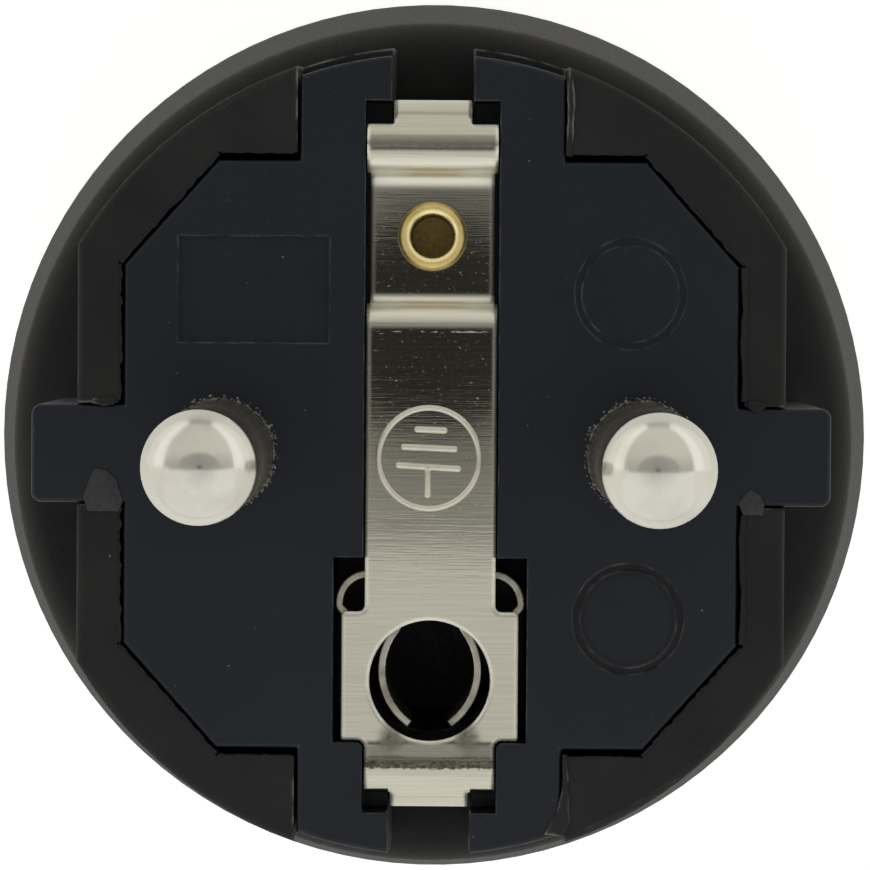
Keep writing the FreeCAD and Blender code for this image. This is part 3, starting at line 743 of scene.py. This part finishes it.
def paleFloor():
    material, tree, shader = newMaterial("paleFloor", 0.0)
    shader.inputs["Base Color"].default_value = floorLook["colour"]
    shader.inputs["Roughness"].default_value = floorLook["rough"]
    path = addNode(tree, "LightPath").outputs
    seen = times(tree, path["Is Camera Ray"], floorLook["glow"])
    mirrored = math2(tree, "ADD", path["Is Glossy Ray"], path["Is Transmission Ray"])
    glow = math2(tree, "ADD", seen, times(tree, mirrored, floorLook["mirrored"]))
    shader.inputs["Emission Color"].default_value = (1, 1, 1, 1)
    tree.links.new(glow, shader.inputs["Emission Strength"])
    bm = bmesh.new()
    bmesh.ops.create_circle(bm, cap_ends=True, segments=96, radius=floorLook["radius"])
    rim = [e for e in bm.edges if e.is_boundary]
    rise = bmesh.ops.extrude_edge_only(bm, edges=rim)["geom"]
    raised = [v for v in rise if isinstance(v, bmesh.types.BMVert)]
    bmesh.ops.translate(bm, verts=raised, vec=(0, 0, floorLook["rim"]))
    stageObject("studioFloor", bm, material)


roomLook = {
    "middle": (0.52, 0.51, 0.48, 1),
    "back": (0.775, 0.757, 0.705, 1),
    "fade": (0, 0.45),
}


def greyRoom():
    world = bpy.data.worlds.new("greyRoom")
    world.use_nodes = True
    tree = world.node_tree
    way = addNode(tree, "TexCoord").outputs["Generated"]
    towards = addNode(tree, "SeparateXYZ", {"Vector": way}).outputs["Y"]
    shade = mixColour(tree, spread(tree, towards, *roomLook["fade"]), roomLook["middle"], roomLook["back"])
    tree.links.new(shade, tree.nodes["Background"].inputs["Color"])
    bpy.context.scene.world = world


sheetLook = {
    "colour": (1.0, 0.975, 0.93, 1),
    "overhead": (0.98, 6.91, 213.5),  # mm over the face, where cards are shaded from
    "cardFade": (40 * mm, 150 * mm),
    "flagFade": (0.14, 0.34),  # shares of the radius
}
softBoxes = {  # centre, way across, way up, level, shade of its back near the middle and far off
    "lowBox": ((0, -0.2339, 0.160), (2.4, 0, 0), (0, 0.4362, 0.28), 0.42, 0.33, 0.55),
    "leftBox": ((-0.34, 0.65, 0.1915), (0, -1.3, 0), (0, 0, 0.143), 0.58, 0.57, 0.57),
    "rightBox": ((0.34, 0.65, 0.1915), (0, 1.3, 0), (0, 0, 0.143), 0.58, 0.57, 0.57),
}
flags = {  # place over the face in mm, radius in mm, stretch sideways, shade in the middle and further out
    "blackFlag": ((-1.02, 4.81, 215.5), 9.7, 1.24, 0.03, 0.03),
    "greyFlag": ((0.98, 6.91, 253.5), 70, 1.0, 0.18, 0.39),
    "wideFlag": ((0.98, 6.91, 256.0), 110, 1.6, 0.42, 0.42),
}
whiteCards = {  # centre, way across, way up, shade
    "leftCard": ((-0.34, -0.2, 0.2), (0, -0.4, 0), (0, 0, 0.3), 0.93),
    "rightCard": ((0.34, -0.2, 0.2), (0, 0.4, 0), (0, 0, 0.3), 0.93),
    "leftFill": ((-0.345, 0.65, 0.06), (0, -1.3, 0), (0, 0, 0.12), 0.98),
    "rightFill": ((0.345, 0.65, 0.06), (0, 1.3, 0), (0, 0, 0.12), 0.98),
}


def overFace(place):
    return faceCentre + Vector(place) * mm


def standing(centre, across, rise):
    axes = across.normalized(), rise.normalized(), across.cross(rise).normalized()
    return Matrix.Translation(centre) @ Matrix(axes).transposed().to_4x4()


def glowSheet(name, bm, middle, near, far, shade, farShade):
    # sheet that only reflections show, shaded from its middle outwards
    material = bpy.data.materials.new(name)
    material.use_nodes = True
    tree = material.node_tree
    tree.nodes.clear()
    spot = {0: addNode(tree, "TexCoord").outputs["Object"], 1: middle}
    away = addNode(tree, "VectorMath", spot, operation="DISTANCE").outputs["Value"]
    glow = addNode(tree, "Emission", {"Strength": spread(tree, away, near, far, shade, farShade)})
    glow.inputs["Color"].default_value = sheetLook["colour"]
    out = addNode(tree, "OutputMaterial")
    tree.links.new(glow.outputs[0], out.inputs["Surface"])
    sheet = stageObject(name, bm, material)
    sheet.visible_camera = False
    sheet.visible_diffuse = False
    sheet.visible_shadow = False


def hangFlag(name, place, radius, stretch, shade, farShade):
    # dark card over the plug, for polished metal to mirror
    near, far = (radius * share * mm for share in sheetLook["flagFade"])
    bm = bmesh.new()
    bmesh.ops.create_circle(bm, cap_ends=True, segments=48, radius=radius * mm)
    bmesh.ops.scale(bm, vec=(stretch, 1, 1), verts=bm.verts)
    bmesh.ops.translate(bm, verts=bm.verts, vec=overFace(place))
    glowSheet(name, bm, overFace(place), near, far, shade, farShade)


def hangCard(name, centre, across, rise, shade, farShade=None):
    across, rise = Vector(across), Vector(rise)
    bm = bmesh.new()
    bmesh.ops.create_grid(bm, size=0.5)
    bmesh.ops.scale(bm, vec=(across.length, rise.length, 1), verts=bm.verts)
    bmesh.ops.transform(bm, matrix=standing(centre, across, rise), verts=bm.verts)
    middle = overFace(sheetLook["overhead"])
    glowSheet(name, bm, middle, *sheetLook["cardFade"], shade, farShade or shade)


def softBox(name, centre, across, rise, level, shade, farShade):
    across, rise = Vector(across), Vector(rise)
    lamp = bpy.data.lights.new(name, "AREA")
    lamp.shape = "RECTANGLE"
    lamp.size, lamp.size_y = across.length, rise.length
    lamp.energy = math.pi * across.length * rise.length * level
    holder = bpy.data.objects.new(name, lamp)
    holder.matrix_world = standing(centre, across, rise)
    holder.visible_camera = False
    bpy.context.scene.collection.objects.link(holder)
    behind = Vector(centre) + across.cross(rise).normalized() * mm
    hangCard(name + "Back", behind, across, rise, shade, farShade)


# Camera solved from the photograph: focal length in pixels, place in mm from the middle of the face
photoView = {
    "pixels": 870,
    "focal": 4761.8,
    "place": (0.98, 6.91, 213.54),
    "pitch": 1.607,
    "yaw": -0.216,
    "roll": -0.38,
}


def photoCamera():
    view = bpy.data.cameras.new("photoCamera")
    view.sensor_width = 36.0
    view.lens = view.sensor_width * photoView["focal"] / photoView["pixels"]
    view.clip_start = 0.01
    holder = bpy.data.objects.new("photoCamera", view)
    turn = Matrix.Rotation(math.radians(photoView["roll"]), 3, "Z")
    turn = turn @ Matrix.Rotation(math.radians(photoView["pitch"]), 3, "X")
    turn = turn @ Matrix.Rotation(math.radians(photoView["yaw"]), 3, "Y")
    holder.matrix_world = Matrix.Translation(overFace(photoView["place"])) @ turn.transposed().to_4x4()
    bpy.context.scene.collection.objects.link(holder)
    bpy.context.scene.camera = holder


photoCamera()
greyRoom()
paleFloor()
for boxName, values in softBoxes.items():
    softBox(boxName, *values)
for flagName, values in flags.items():
    hangFlag(flagName, *values)
for cardName, values in whiteCards.items():
    hangCard(cardName, *values)
bpy.context.scene.view_settings.view_transform = "Standard"
print("studio and camera set")
